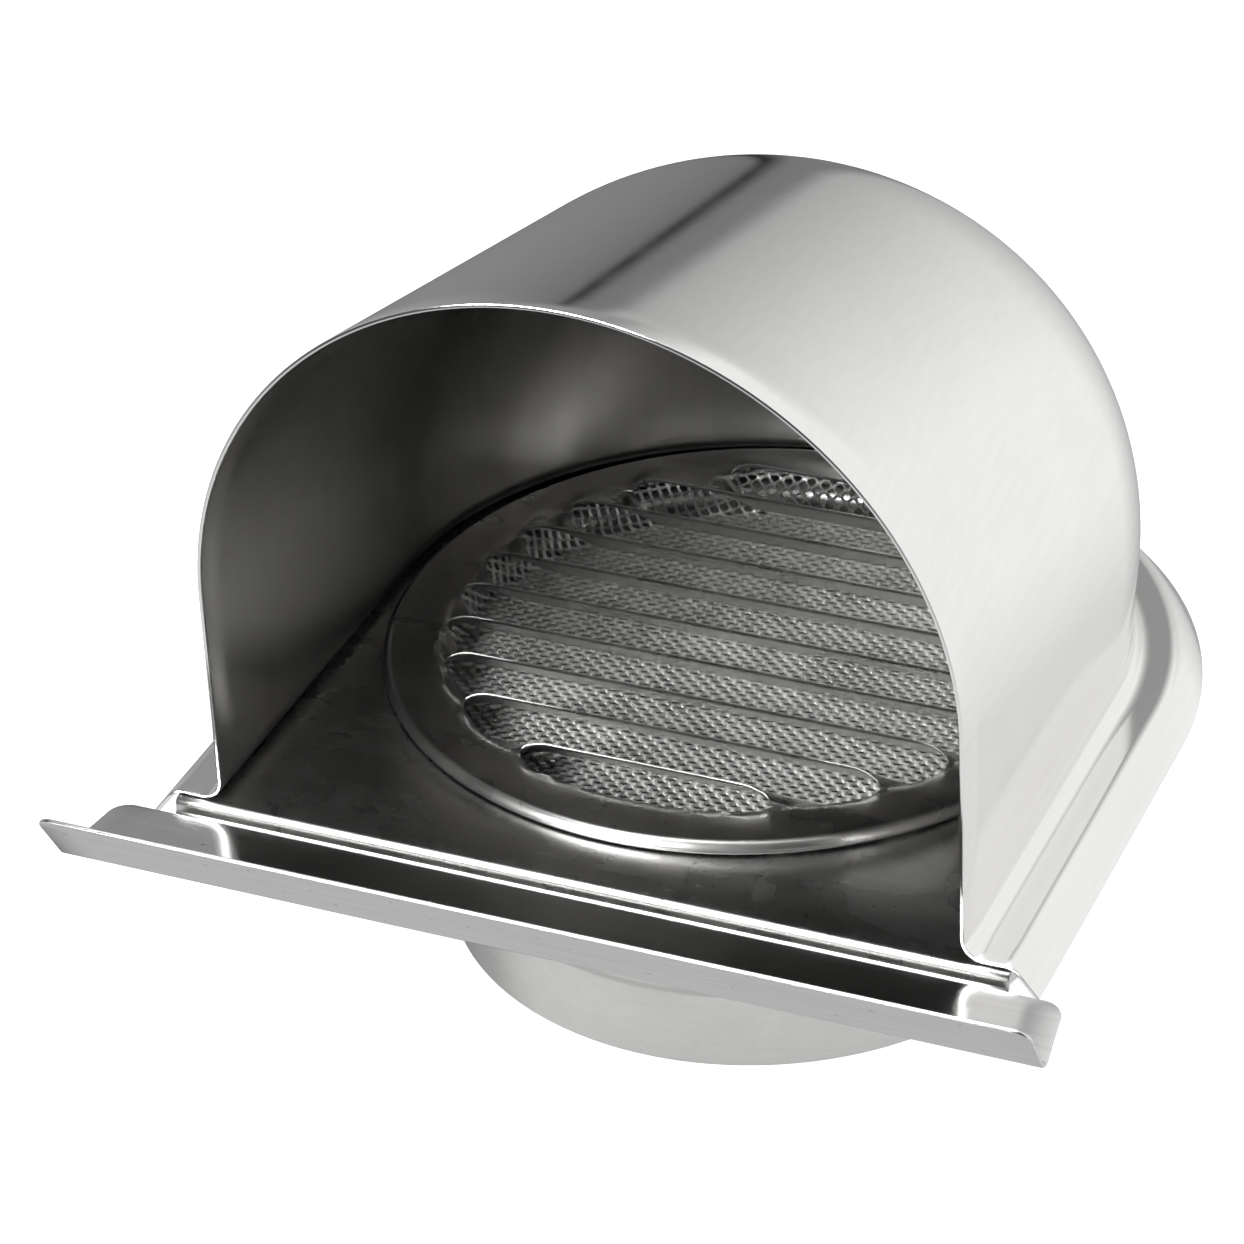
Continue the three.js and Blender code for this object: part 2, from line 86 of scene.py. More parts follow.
# ---- Driving dimensions, in millimetres ----
SHEET = 0.7
GAP = 0.3
RIM_STEPS = 4  # faces round a sheet's cut edge
RIM_BULGE = 0.35  # how far a cut edge bulges, as a share of the sheet
WELD = 2e-3  # points of a surface closer than this become one
FINE_WELD = 1e-4
SHARP_ANGLE = 35  # degrees: edges sharper than this are shaded as creases

MOUTH_Y = hood_low.y
WALL_PLANE = hood_low.z
HOOD_HALF_WIDTH = 58.6
HOOD_BACK_FOOT = 57.3
HOOD_RISE = 56.6
HOOD_TILT = math.radians(13.4)
HOOD_DOME_HEIGHT = 19.5
HOOD_FILLET = 3.2
FLANGE_EDGE = 66.0
FLANGE_SKIRT_EDGE = hood_high.x
FLANGE_BEND = 1.6

PLATE_EDGE = plate_high.x
PLATE_TOE_Y = plate_low.y
PLATE_OPENING = 52.0
PLATE_FLAT = 0.99  # the share of the plate that is kept quite flat, inside its edge
PLATE_BEND = 1.2
PLATE_CREASE = 0.6
PLATE_NOSE_DEPTH = -plate_low.z - SHEET

COVER_TOP = 2.0
COVER_EDGE = 55.6
COVER_RIM = cover_high.x
COVER_SHEET = 0.6
COVER_BROW = 0.75  # how far past COVER_EDGE the rim's bend would have its corner
COVER_MARGIN_COLUMNS = 8
LOUVRE_COUNT = 10
LOUVRE_PITCH = 9.54
LOUVRE_RADIUS = 47.5
LOUVRE_UP = 2.9
LOUVRE_DOWN = 4.9
LOUVRE_OUTER_DRAW = 1.8  # the first and last strips bend; the ones between are straight
LOUVRE_POCKET_EDGE = 48.6  # the radius where a strip's pocket runs out
LOUVRE_POCKET_FADE = 2.5
LOUVRE_END_RADIUS = 5.0
LOUVRE_KERF = 0.4
LOUVRE_LEAST_BAND = 0.3  # the narrowest the strips' part of a row gets, as a share of LOUVRE_RADIUS

LIP_BACK_Y = lip_high.y
LIP_BEND_Y = -83.6
LIP_CREASE = 1.2
LIP_FRONT_RISE = 10.2
LIP_LEAN = 6.3
LIP_HALF_LENGTH = lip_high.x
LIP_TAPER = 1.4
LIP_BACK_CORNER = 3.2
LIP_FRONT_CORNER = 2.3

MESH_LONG = 2.54  # the screen's diamonds, along X
MESH_SHORT = 2.18  # and along Y
MESH_HOLE = 0.7  # a hole's size as a share of its diamond
MESH_HOLE_WAIST = 0.94  # its size halfway through the sheet, as a share of its size at the faces
MESH_SHEET = 0.3
MESH_LEAN = 0.28  # how far a strand's edges stand above and below its middle
MESH_WELD = 0.02  # joins the edges that neighbouring diamonds share
SCREEN_BOTTOM = 47.0  # radius of the dish's flat bottom
SCREEN_BRIM = 49.4  # radius where its wall meets its brim
SCREEN_BOTTOM_THICKNESS = 0.9
SCREEN_RING_WIDTH = 2.2
SCREEN_RING_CORNER = 0.5

SPIGOT_OUTER = 49.0
SPIGOT_THROAT = 2.0
SPIGOT_BEAD_Z = -30.0
SPIGOT_BEAD_HEIGHT = 0.55
SPIGOT_BEAD_HALF = 2.24

GASKET_HOLE = 57.0
GASKET_SOFTNESS = 0.7  # how far the foam's cut edges are rounded
GASKET_WAVE = 0.12  # how far the hole's edge wanders

CLIP_COUNT = 4
CLIP_WIDTH = 12.0
CLIP_SHEET = 0.5
CLIP_RIVET_Z = -23.0
CLIP_STAND_OFF = 0.45
CLIP_FOOT = 3.0
CLIP_BEND_ABOVE = 2.0
CLIP_LEAF_HEIGHT = 17.0
CLIP_LEAF_RISE = 3.6
CLIP_RIVET_SPACING = 6.8
CLIP_CORNER = 1.5  # length of the rounded corners, along the strip
CLIP_CORNER_INSET = 1.2  # and across it

RIVET_SHANK = 1.2
RIVET_HEAD = 2.0
RIVET_HEAD_HEIGHT = 1.0
RIVET_HEAD_GAP = 0.4
RIVET_TAIL_LENGTH = 1.1
RIVET_PIN = 0.55  # radius of the broken-off pin in the head's middle
RIVET_PIN_DEPTH = 0.05  # how far the pin's end lies below the crown of the head
RIVET_DENT_DEPTH = 0.25  # the dent round the pin
RIVET_DENT_TOP = 0.15
RIVET_DENT_FLOOR = 0.1


# ---- Materials ----
# Scales of the patterns in a steel surface: the higher, the finer.
FINE_LINES, BROAD_LINES, CLOUDS, SMUDGES, DUST = 900, 180, 28, 75, 900
DUST_COLOR = (0.09, 0.075, 0.06, 1)


def new_material(name):
    """An empty material, with its nodes, its links and its shader."""
    material = bpy.data.materials.new(name)
    material.use_nodes = True
    nodes = material.node_tree.nodes
    return material, nodes, material.node_tree.links, nodes["Principled BSDF"]


def noise(nodes, links, vector, scale, detail, stretch=(1, 1, 1), distortion=0.0):
    """Noise over the object's own coordinates, drawn out along the axes with a small stretch value."""
    mapping = nodes.new("ShaderNodeMapping")
    mapping.inputs["Scale"].default_value = stretch
    links.new(vector, mapping.inputs["Vector"])
    texture = nodes.new("ShaderNodeTexNoise")
    texture.inputs["Scale"].default_value = scale
    texture.inputs["Detail"].default_value = detail
    texture.inputs["Distortion"].default_value = distortion
    links.new(mapping.outputs["Vector"], texture.inputs["Vector"])
    return texture.outputs["Fac"]


def ranged(nodes, links, value, from_low, from_high, to_low, to_high):
    """Maps a value from one range to another, and stops at the ends."""
    node = nodes.new("ShaderNodeMapRange")
    node.inputs["From Min"].default_value = from_low
    node.inputs["From Max"].default_value = from_high
    node.inputs["To Min"].default_value = to_low
    node.inputs["To Max"].default_value = to_high
    links.new(value, node.inputs["Value"])
    return node.outputs["Result"]


def combined(nodes, links, operation, *values):
    """Arithmetic on numbers and other nodes' outputs."""
    node = nodes.new("ShaderNodeMath")
    node.operation = operation
    for socket, value in zip(node.inputs, values):
        if isinstance(value, (int, float)):
            socket.default_value = value
        else:
            links.new(value, socket)
    return node.outputs["Value"]


def mixed_color(nodes, links, share, first, second):
    """Goes from the first colour to the second as share goes from 0 to 1."""
    node = nodes.new("ShaderNodeMix")
    node.data_type = "RGBA"
    links.new(share, node.inputs["Factor"])
    for socket, color in ((node.inputs["A"], first), (node.inputs["B"], second)):
        if isinstance(color, tuple):
            socket.default_value = color
        else:
            links.new(color, socket)
    return node.outputs["Result"]


def two_tone(nodes, links, shader, pattern, dark, light):
    """Colours a surface between two greys, by a pattern."""
    ramp = nodes.new("ShaderNodeValToRGB")
    for element, grey in zip(ramp.color_ramp.elements, (dark, light)):
        element.color = (*grey, 1)
    links.new(pattern, ramp.inputs["Fac"])
    links.new(ramp.outputs["Color"], shader.inputs["Base Color"])


def relief(nodes, links, shader, height, strength, depth):
    """Roughens a surface by a pattern that is depth millimetres deep."""
    bump = nodes.new("ShaderNodeBump")
    bump.inputs["Strength"].default_value = strength
    bump.inputs["Distance"].default_value = depth * MM
    links.new(height, bump.inputs["Height"])
    links.new(bump.outputs["Normal"], shader.inputs["Normal"])


def tube_coordinates(nodes, links, position):
    """Coordinates (angle round the duct's axis, height) for brushing that runs round a tube."""
    split = nodes.new("ShaderNodeSeparateXYZ")
    links.new(position, split.inputs["Vector"])
    y = combined(nodes, links, "SUBTRACT", split.outputs["Y"], ORIGIN.y)
    angle = combined(nodes, links, "ARCTAN2", y, split.outputs["X"])
    joined = nodes.new("ShaderNodeCombineXYZ")
    links.new(angle, joined.inputs["X"])
    links.new(split.outputs["Z"], joined.inputs["Y"])
    return joined.outputs["Vector"]


def steel(name, color, roughness, grain, grain_depth, stain=0.12, specks=0.0, turned=False):
    """Polished or brushed stainless steel.

    grain is the stretch of the polishing lines along X, Y and Z, and grain_depth is in millimetres.
    stain is how much darker the dull places are, and specks how strongly dust shows. On a turned
    piece the lines run round the duct's axis.
    """
    material, nodes, links, shader = new_material(name)
    coordinates = nodes.new("ShaderNodeTexCoord").outputs["Object"]
    along = tube_coordinates(nodes, links, coordinates) if turned else coordinates
    lines = noise(nodes, links, along, FINE_LINES, 3, grain)
    broad_lines = noise(nodes, links, along, BROAD_LINES, 2, grain)
    clouds = noise(nodes, links, coordinates, CLOUDS, 4, distortion=0.8)
    smudges = noise(nodes, links, coordinates, SMUDGES, 5, distortion=1.5)
    dust = noise(nodes, links, coordinates, DUST, 0)

    tone = combined(nodes, links, "MULTIPLY", lines, 0.5)
    tone = combined(nodes, links, "ADD", tone, combined(nodes, links, "MULTIPLY", clouds, 0.5))
    clean = ranged(nodes, links, tone, 0.3, 0.7, 0, 1)
    stained = tuple(c * (1 - stain) for c in color)
    tint = mixed_color(nodes, links, clean, (*stained, 1), (*color, 1))
    dusty = ranged(nodes, links, dust, 0.80, 0.86, 0, specks)
    spotted = mixed_color(nodes, links, dusty, tint, DUST_COLOR)
    links.new(spotted, shader.inputs["Base Color"])

    shader.inputs["Metallic"].default_value = 1
    handled = combined(nodes, links, "MULTIPLY", smudges, clouds)
    dull = combined(nodes, links, "ADD", handled, combined(nodes, links, "MULTIPLY", broad_lines, 0.4))
    rough = ranged(nodes, links, dull, 0.25, 0.75, roughness * 0.78, roughness * 1.35)
    links.new(rough, shader.inputs["Roughness"])

    height = combined(nodes, links, "ADD", lines, combined(nodes, links, "MULTIPLY", broad_lines, 1.5))
    relief(nodes, links, shader, height, 1, grain_depth)
    return material


def foam_material():
    """Closed-cell black foam: fine pores and a faint grey bloom."""
    material, nodes, links, shader = new_material("foam_black")
    coordinates = nodes.new("ShaderNodeTexCoord").outputs["Object"]
    bloom = noise(nodes, links, coordinates, 60, 4)
    pores = nodes.new("ShaderNodeTexVoronoi")
    pores.inputs["Scale"].default_value = 2200
    links.new(coordinates, pores.inputs["Vector"])
    two_tone(nodes, links, shader, bloom, (0.018, 0.018, 0.02), (0.055, 0.055, 0.058))
    links.new(ranged(nodes, links, bloom, 0.3, 0.7, 0.8, 0.98), shader.inputs["Roughness"])
    relief(nodes, links, shader, pores.outputs["Distance"], 0.6, 0.15)
    return material


def floor_material():
    """Pale paper that glows a little, so that it stays even and white."""
    material, nodes, links, shader = new_material("studio_floor")
    coordinates = nodes.new("ShaderNodeTexCoord").outputs["Object"]
    paper = noise(nodes, links, coordinates, 6, 3)
    two_tone(nodes, links, shader, paper, (0.55, 0.55, 0.55), (0.58, 0.58, 0.58))
    shader.inputs["Roughness"].default_value = 0.9
    shader.inputs["Specular IOR Level"].default_value = 0.1
    shader.inputs["Emission Color"].default_value = (1, 1, 1, 1)
    shader.inputs["Emission Strength"].default_value = 0.8
    return material


def painted_duct_shade_material():
    """Painted shade: the dark that a real vent opens into, drawn as an uneven matte black surface."""
    material, nodes, links, shader = new_material("painted_duct_shade")
    coordinates = nodes.new("ShaderNodeTexCoord").outputs["Object"]
    shade_mottle = noise(nodes, links, coordinates, 120, 3)
    two_tone(nodes, links, shader, shade_mottle, (0.004, 0.004, 0.004), (0.008, 0.008, 0.008))
    shader.inputs["Roughness"].default_value = 1
    shader.inputs["Specular IOR Level"].default_value = 0
    return material


# How the polishing lines run: a small value along an axis draws them out along it.
ALONG_X, ALONG_Y, ALONG_Z = (0.03, 1, 1), (1, 0.03, 1), (1, 1, 0.03)
DOWN_WALL = (1, 0.3, 0.03)
ROUND_TUBE = (0.05, 6, 1)
NO_LINES = (1, 1, 1)
hood_steel = steel("hood_polished_steel", (0.86, 0.855, 0.845), 0.12, ALONG_Y, 0.002, 0.06)
# The hood's inside faces: rougher satin steel, and a colour darker than the outside's as painted shade
# inside the hood.
inside_steel_with_painted_shade = steel("hood_satin_inside_painted_shade", (0.48, 0.475, 0.465), 0.34, DOWN_WALL, 0.012)
plate_steel = steel("plate_satin_steel", (0.66, 0.655, 0.645), 0.26, ALONG_X, 0.006, specks=0.5)
cover_steel = steel("louvre_satin_steel", (0.56, 0.555, 0.545), 0.3, ALONG_X, 0.006, specks=0.4)
lip_steel = steel("lip_polished_steel", (0.74, 0.735, 0.73), 0.2, ALONG_X, 0.004, specks=0.3)
tube_steel = steel("spigot_brushed_steel", (0.72, 0.715, 0.705), 0.3, ROUND_TUBE, 0.02, turned=True)
mesh_steel = steel("screen_steel", (0.97, 0.965, 0.95), 0.5, NO_LINES, 0.01, 0.04)
clip_steel = steel("clip_spring_steel", (0.62, 0.61, 0.59), 0.28, ALONG_Z, 0.01, specks=0.3)
rivet_steel = steel("rivet_steel", (0.66, 0.655, 0.645), 0.34, NO_LINES, 0.01)
foam = foam_material()


# ---- Mesh helpers ----
def piece_object(mesh, name, material, body="vent", sharp_angle=SHARP_ANGLE):
    """Makes a bmesh drawn in millimetres into a smooth-shaded piece of the frame, riding on a body."""
    mesh.transform(Matrix.Translation(ORIGIN) @ Matrix.Scale(MM, 4))
    bmesh.ops.recalc_face_normals(mesh, faces=mesh.faces)
    data = bpy.data.meshes.new(name)
    mesh.to_mesh(data)
    mesh.free()
    data.materials.append(material)
    data.shade_smooth()
    data.set_sharp_from_angle(angle=math.radians(sharp_angle))
    piece = bpy.data.objects.new(name, data)
    bpy.context.scene.collection.objects.link(piece)
    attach(piece, body)
    return piece


def add_grid(mesh, grid, closed=False):
    """Adds rows of points to a bmesh as quads. closed joins each row's last point to its first."""
    vertices = [[mesh.verts.new(point) for point in row] for row in grid]
    columns = len(vertices[0])
    for lower, upper in zip(vertices, vertices[1:]):
        for j in range(columns if closed else columns - 1):
            k = (j + 1) % columns
            mesh.faces.new((lower[j], lower[k], upper[k], upper[j]))


def surface_of(grids):
    """One open surface through grids that share their edges."""
    mesh = bmesh.new()
    for grid in grids:
        add_grid(mesh, grid)
    bmesh.ops.remove_doubles(mesh, verts=mesh.verts, dist=WELD)
    mesh.normal_update()
    return mesh


def thicken(mesh, thickness, straight_down=False, under_material=0):
    """Gives an open surface a thickness, on its inner side, and rounds its cut edges."""
    top_vertices = list(mesh.verts)
    top_faces = list(mesh.faces)
    inward = {}
    for vertex in top_vertices:
        inward[vertex] = Vector((0, 0, -1)) if straight_down else -vertex.normal
    outward = {}
    boundary = [edge for edge in mesh.edges if edge.is_boundary]
    for edge in boundary:
        loop = edge.link_loops[0]
        start, end = loop.vert, loop.link_loop_next.vert
        side = (end.co - start.co).normalized().cross(loop.face.normal)
        for vertex in (start, end):
            outward[vertex] = outward.get(vertex, Vector()) + side
    columns = {}
    for vertex in top_vertices:
        start = vertex.co.copy()
        column = [vertex]
        if vertex in outward:
            side = outward[vertex].normalized() * RIM_BULGE * thickness
            for step in range(1, RIM_STEPS):
                angle = math.pi * step / RIM_STEPS
                depth = thickness * (1 - math.cos(angle)) / 2
                column.append(mesh.verts.new(start + inward[vertex] * depth + side * math.sin(angle)))
        column.append(mesh.verts.new(start + inward[vertex] * thickness))
        columns[vertex] = column
    for edge in boundary:
        loop = edge.link_loops[0]
        start, end = columns[loop.vert], columns[loop.link_loop_next.vert]
        for step in range(RIM_STEPS):
            mesh.faces.new((end[step], start[step], start[step + 1], end[step + 1]))
    for face in top_faces:
        under = mesh.faces.new([columns[vertex][-1] for vertex in reversed(face.verts)])
        under.material_index = under_material
    return mesh


def round_axis(reach, angle, z):
    """The point at a distance from the duct's axis, in the direction of an angle."""
    return Vector((reach * math.cos(angle), reach * math.sin(angle), z))


def arc_points(centre, radius, start, end, steps):
    """Points of an arc in the (Y, Z) plane, angles in degrees from +Y towards +Z."""
    points = []
    for step in range(steps + 1):
        angle = math.radians(start + (end - start) * step / steps)
        points.append((centre[0] + radius * math.cos(angle), centre[1] + radius * math.sin(angle)))
    return points


def bend_points(start, corner, end, steps):
    """Points of a smooth bend from start to end whose tangents meet at corner."""
    points = []
    for step in range(steps + 1):
        t = step / steps
        points.append(start * (1 - t) ** 2 + corner * 2 * t * (1 - t) + end * t ** 2)
    return points


def turned_mesh(profile, steps, profile_closed=True):
    """A (radius, z) profile turned round the Z axis. A closed profile's last point joins its first."""
    mesh = bmesh.new()
    profile = profile + [profile[0]] if profile_closed else profile
    angles = [2 * math.pi * j / steps for j in range(steps)]
    add_grid(mesh, [[round_axis(radius, a, z) for a in angles] for radius, z in profile], closed=True)
    bmesh.ops.remove_doubles(mesh, verts=mesh.verts, dist=FINE_WELD)
    return mesh


# The plate and the gasket share an outline: straight sides and front, and a half round at the back.
def outline_reach(angle, edge, front):
    """How far the outline lies from the duct's axis in the direction of an angle."""
    x, y = math.cos(angle), math.sin(angle)
    if y >= 0:
        return edge
    return min(edge / max(abs(x), 1e-9), front / y)


def outline_angles(edge, front, steps):
    """Angles evenly round the duct's axis, with one more at each front corner of the outline."""
    corner = math.atan2(front, edge)
    even = [2 * math.pi * i / steps for i in range(steps)]
    return sorted(even + [corner + 2 * math.pi, math.pi - corner])


# ---- Hood ----
# "up" is square to the hood's long axis and "back" runs along it, away from the mouth.
hood_up = Vector((0, math.sin(HOOD_TILT), math.cos(HOOD_TILT)))
hood_back = Vector((0, math.cos(HOOD_TILT), -math.sin(HOOD_TILT)))
dome_centre = hood_up * HOOD_DOME_HEIGHT


def dome_point(phi, psi):
    """Angle phi runs round the arch from +X to -X, psi tips it over to the back."""
    point = dome_centre + Vector((HOOD_HALF_WIDTH * math.cos(phi), 0, 0))
    point += hood_up * HOOD_RISE * math.sin(phi) * math.cos(psi)
    return point + hood_back * HOOD_RISE * math.sin(phi) * math.sin(psi)


def mouth_point(phi):
    """The point of the mouth's edge that lies straight in front of the arch at phi."""
    point = dome_point(phi, 0)
    return point + hood_back * ((MOUTH_Y - point.y) / hood_back.y)


def hood_top(straight_steps, dome_steps, round_steps):
    """The hood above its springing line: the straight part from the mouth, then the dome."""
    rows = []
    for j in range(straight_steps):
        row = []
        for i in range(round_steps + 1):
            phi = math.pi * i / round_steps
            row.append(mouth_point(phi).lerp(dome_point(phi, 0), j / straight_steps))
        rows.append(row)
    for j in range(dome_steps + 1):
        psi = math.pi / 2 * j / dome_steps
        rows.append([dome_point(math.pi * i / round_steps, psi) for i in range(round_steps + 1)])
    return rows[::-1]


def wall_profile(spring, foot, middle, out):
    """From the springing line down the wall, round the fillet, across the flange and down the skirt."""
    wall = (spring - foot).normalized()
    edge = middle + out * FLANGE_EDGE
    rim_room = RIM_BULGE * SHEET / 2
    skirt = middle + out * (FLANGE_SKIRT_EDGE - rim_room)
    skirt.z = WALL_PLANE + rim_room
    down = (skirt - edge).normalized()
    top_of_fillet = foot + wall * HOOD_FILLET
    end_of_fillet = foot + out * HOOD_FILLET
    points = [spring, spring.lerp(top_of_fillet, 0.5)]
    points += bend_points(top_of_fillet, foot, end_of_fillet, 10)
    points += bend_points(edge - out * FLANGE_BEND, edge, edge + down * FLANGE_BEND, 8)
    return points + [skirt]


def hood_skirt(straight_steps, round_steps):
    """The walls below the springing line and the flange: one side, round the back, the other side."""
    flange_z = GAP + SHEET

    def side(sign, i):
        spring = mouth_point(0).lerp(dome_point(0, 0), i / straight_steps)
        foot_y = MOUTH_Y * (1 - i / straight_steps)
        foot = Vector((sign * HOOD_HALF_WIDTH, foot_y, flange_z))
        spring.x *= sign
        return wall_profile(spring, foot, Vector((0, foot_y, flange_z)), Vector((sign, 0, 0)))

    profiles = [side(1, i) for i in range(straight_steps)]
    for i in range(round_steps + 1):
        phi = math.pi * i / round_steps
        spring = dome_point(phi, math.pi / 2)
        out = round_axis(1, phi, 0)
        foot = spring + hood_up * ((flange_z - spring.z) / hood_up.z)
        foot.y = HOOD_BACK_FOOT * math.sin(phi)
        profiles.append(wall_profile(spring, foot, Vector((0, 0, flange_z)), out))
    profiles += [side(-1, i) for i in reversed(range(straight_steps))]
    return profiles


def make_hood():
    straight_steps, dome_steps, round_steps = 12, 40, 96
    grids = [hood_top(straight_steps, dome_steps, round_steps), hood_skirt(straight_steps, round_steps)]
    mesh = thicken(surface_of(grids), SHEET, under_material=1)
    hood = piece_object(mesh, "hood", hood_steel)
    # the inner faces take the darker steel, with its painted shade
    hood.data.materials.append(inside_steel_with_painted_shade)
    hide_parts("hood_shell")


# ---- Base plate ----
def plate_nose():
    """The plate's front as (y, z): over the nose, down, and back under into the toe."""
    toe_z = -PLATE_NOSE_DEPTH
    nose_y = MOUTH_Y - PLATE_BEND
    profile = arc_points((MOUTH_Y, -PLATE_BEND), PLATE_BEND, 90, 180, 10)
    crease_centre = (nose_y - PLATE_CREASE, toe_z + PLATE_CREASE)
    profile += arc_points(crease_centre, PLATE_CREASE, 0, -90, 6)
    return profile + [(PLATE_TOE_Y + RIM_BULGE * SHEET / 2, toe_z)]


def make_plate():
    angles = outline_angles(PLATE_EDGE, MOUTH_Y, 144)
    outer = [round_axis(outline_reach(a, PLATE_EDGE, MOUTH_Y), a, 0) for a in angles]
    support = [point * PLATE_FLAT for point in outer]
    inner = [round_axis(PLATE_OPENING, a, 0) for a in angles]
    loops = [inner, support, outer]
    flat = [[loop[i % len(loop)] for loop in loops] for i in range(len(angles) + 1)]
    front = [point for point in outer if abs(point.y - MOUTH_Y) < 1e-6]
    front.sort(key=lambda point: point.x)
    bend = [[Vector((point.x, y, z)) for point in front] for y, z in reversed(plate_nose())]
    mesh = surface_of([flat, bend])
    plate = piece_object(thicken(mesh, SHEET), "plate", plate_steel)
    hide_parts("base_plate")


# ---- Louvre cover ----
def cut_y(k):
    """Where cut k runs across the cover."""
    return (k - (LOUVRE_COUNT - 1) / 2) * LOUVRE_PITCH


def cut_opening(k, x):
    """0 beyond the ends of cut k, rising in a quarter round to 1 along its middle."""
    if not 0 <= k < LOUVRE_COUNT:
        return 0
    half_length = math.sqrt(LOUVRE_RADIUS ** 2 - cut_y(k) ** 2)
    inside = min(1, max(0, (half_length - abs(x)) / LOUVRE_END_RADIUS))
    return math.sqrt(1 - (1 - inside) ** 2)


def cover_row(y, k, v, columns):
    """Points across the cover at y. Strip k lies between cut k - 1 and cut k, and v runs across it."""
    reach = math.sqrt(max(COVER_EDGE ** 2 - y ** 2, 0))
    least_band = LOUVRE_LEAST_BAND * LOUVRE_RADIUS
    band = min(math.sqrt(max(LOUVRE_RADIUS ** 2 - y ** 2, least_band ** 2)), reach)
    columns_out = range(COVER_MARGIN_COLUMNS)
    margins = [reach + (band - reach) * i / COVER_MARGIN_COLUMNS for i in columns_out]
    xs = [-x for x in margins]
    xs += [-band * math.cos(math.pi * j / columns) for j in range(columns + 1)]
    xs += margins[::-1]
    draw = LOUVRE_OUTER_DRAW if k in (0, LOUVRE_COUNT) else 1
    row = []
    for x in xs:
        in_pocket = (LOUVRE_POCKET_EDGE - math.hypot(x, y)) / LOUVRE_POCKET_FADE
        raised = cut_opening(k - 1, x)
        pressed = cut_opening(k, x) * min(1, max(0, in_pocket))
        up = LOUVRE_UP * raised * (1 - v) ** draw
        down = LOUVRE_DOWN * pressed * v ** draw
        shift = raised * (1 - v) ** 4 - pressed * v ** 4
        row.append(Vector((x, y + LOUVRE_KERF / 2 * shift, COVER_TOP + up - down)))
    return row


def cover_cap(side, columns, steps):
    """The round part of the cover beyond the first or the last strip."""
    widest = math.acos(-cut_y(-1) / COVER_EDGE)
    rows = []
    for i in range(steps + 1):
        y = side * COVER_EDGE * math.cos(widest * i / steps)
        rows.append(cover_row(y, -1, 0, columns))
    return rows if side < 0 else rows[::-1]


def cover_rim(ends):
    """The rim that bends down from a line of points on the cover's edge."""
    start = Vector((COVER_EDGE, 0, COVER_TOP))
    brow = Vector((COVER_EDGE + COVER_BROW, 0, COVER_TOP))
    foot = Vector((COVER_RIM, 0, GAP + COVER_SHEET))
    profile = bend_points(start, brow, foot, 6)
    rim = []
    for end in ends:
        line = []
        for point in profile:
            line.append(Vector((end.x * point.x / COVER_EDGE, end.y * point.x / COVER_EDGE, point.z)))
        rim.append(line)
    return rim


def make_louvre_cover():
    columns, rows_per_strip, cap_steps = 80, 8, 12
    grids = [cover_cap(-1, columns, cap_steps)]
    for k in range(LOUVRE_COUNT + 1):
        rows = []
        for i in range(rows_per_strip + 1):
            v = i / rows_per_strip
            rows.append(cover_row(cut_y(k - 1) + v * LOUVRE_PITCH, k, v, columns))
        grids.append(rows)
    grids.append(cover_cap(1, columns, cap_steps))
    outline = [row for grid in grids for row in grid]
    grids.append(cover_rim([row[-1] for row in outline]))
    grids.append([line[::-1] for line in cover_rim([row[0] for row in outline])])
    mesh = thicken(surface_of(grids), COVER_SHEET, straight_down=True)
    cover = piece_object(mesh, "louvre_cover", cover_steel)
    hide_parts("louvre_disc")


# ---- Screen: a shallow dish of expanded metal, its strands leaning ----
def diamond_ring(scale, lean):
    """Eight points round a diamond, at a share of its size.

    The edge towards the mouth stands up by lean, and the far edge down.
    """
    ring = []
    for i in range(8):
        angle = math.pi / 4 * i
        along, across = math.cos(angle), math.sin(angle)
        to_edge = 1 / (abs(along) + abs(across))
        rounding = 0.5 * (1 + to_edge) if scale < 1 else to_edge
        x = MESH_LONG / 2 * along * rounding * scale
        y = MESH_SHORT / 2 * across * rounding * scale
        ring.append(Vector((x, y, -lean * across)))
    return ring


def dish_point(x, y, height, path):
    """Lays a flat point, and its height off the mesh, on the dish: bottom, wall and brim in turn."""
    along = math.hypot(x, y)
    for (start, start_at), (end, end_at) in zip(path, path[1:]):
        if along <= end_at or end is path[-1][0]:
            share = (along - start_at) / (end_at - start_at)
            on_path = start.lerp(end, share)
            run = (end - start).normalized()
            break
    radius = on_path.x - run.z * height
    turn = 1 / along if along else 0
    return Vector((x * turn * radius, y * turn * radius, on_path.z + run.x * height))


def dish_path():
    """The dish's section from its middle out, as points, each with its distance along the section."""
    middle_z = screen_low.z + SCREEN_BOTTOM_THICKNESS / 2
    brim_z = screen_high.z - MESH_SHEET / 2
    bottom_corner = Vector((SCREEN_BOTTOM, 0, middle_z))
    brim_corner = Vector((SCREEN_BRIM, 0, brim_z))
    out = Vector((1, 0, 0))
    wall_start, wall_end = bottom_corner.lerp(brim_corner, 0.2), bottom_corner.lerp(brim_corner, 0.8)
    section = [Vector((0, 0, middle_z))]
    section += bend_points(bottom_corner - out, bottom_corner, wall_start, 6)
    section += bend_points(wall_end, brim_corner, brim_corner + out, 6)
    section.append(Vector((screen_high.x, 0, brim_z)))
    path = [(section[0], 0)]
    for point in section[1:]:
        path.append((point, path[-1][1] + (point - path[-1][0]).length))
    return path


